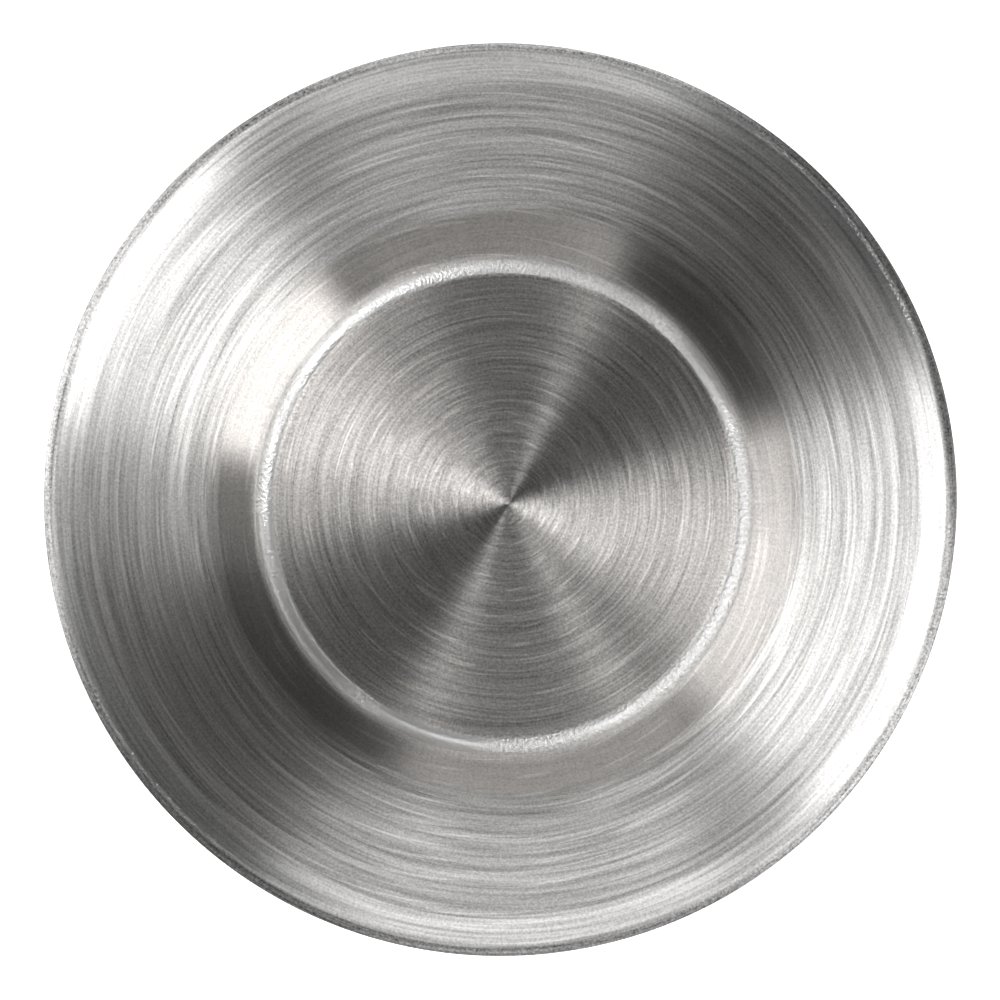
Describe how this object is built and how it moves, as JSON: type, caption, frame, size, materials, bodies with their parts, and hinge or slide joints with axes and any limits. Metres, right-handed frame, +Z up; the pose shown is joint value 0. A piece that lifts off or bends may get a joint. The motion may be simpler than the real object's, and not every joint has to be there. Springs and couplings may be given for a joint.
{
  "type": "shaving bowl",
  "caption": "Round double-walled stainless steel shaving bowl with tapered brushed walls, a flat floor, a rolled rim and a rubber foot ring, for working up lather with a brush",
  "frame": {"origin": "on the bowl's axis, at the shelf that the foot ring stands on", "axes": "+Z is up along the bowl's axis. The bowl is round, so X and Y have no preferred direction"},
  "size_m": [0.1, 0.1, 0.052],
  "materials": {
    "bowl_steel": "circular brushing inside, satin on the rolled rim",
    "shell_steel": "fine circular satin",
    "base_steel": "as pressed, with turned rings",
    "foot_rubber": "matt moulded",
    "plug_rubber": "matt moulded"
  },
  "bodies": {
    "root": {"inner_bowl": "bowl_steel", "outer_shell": "shell_steel", "base_plate": "base_steel", "foot_ring": "foot_rubber", "vent_plug": "plug_rubber"}
  },
  "joints": []
}
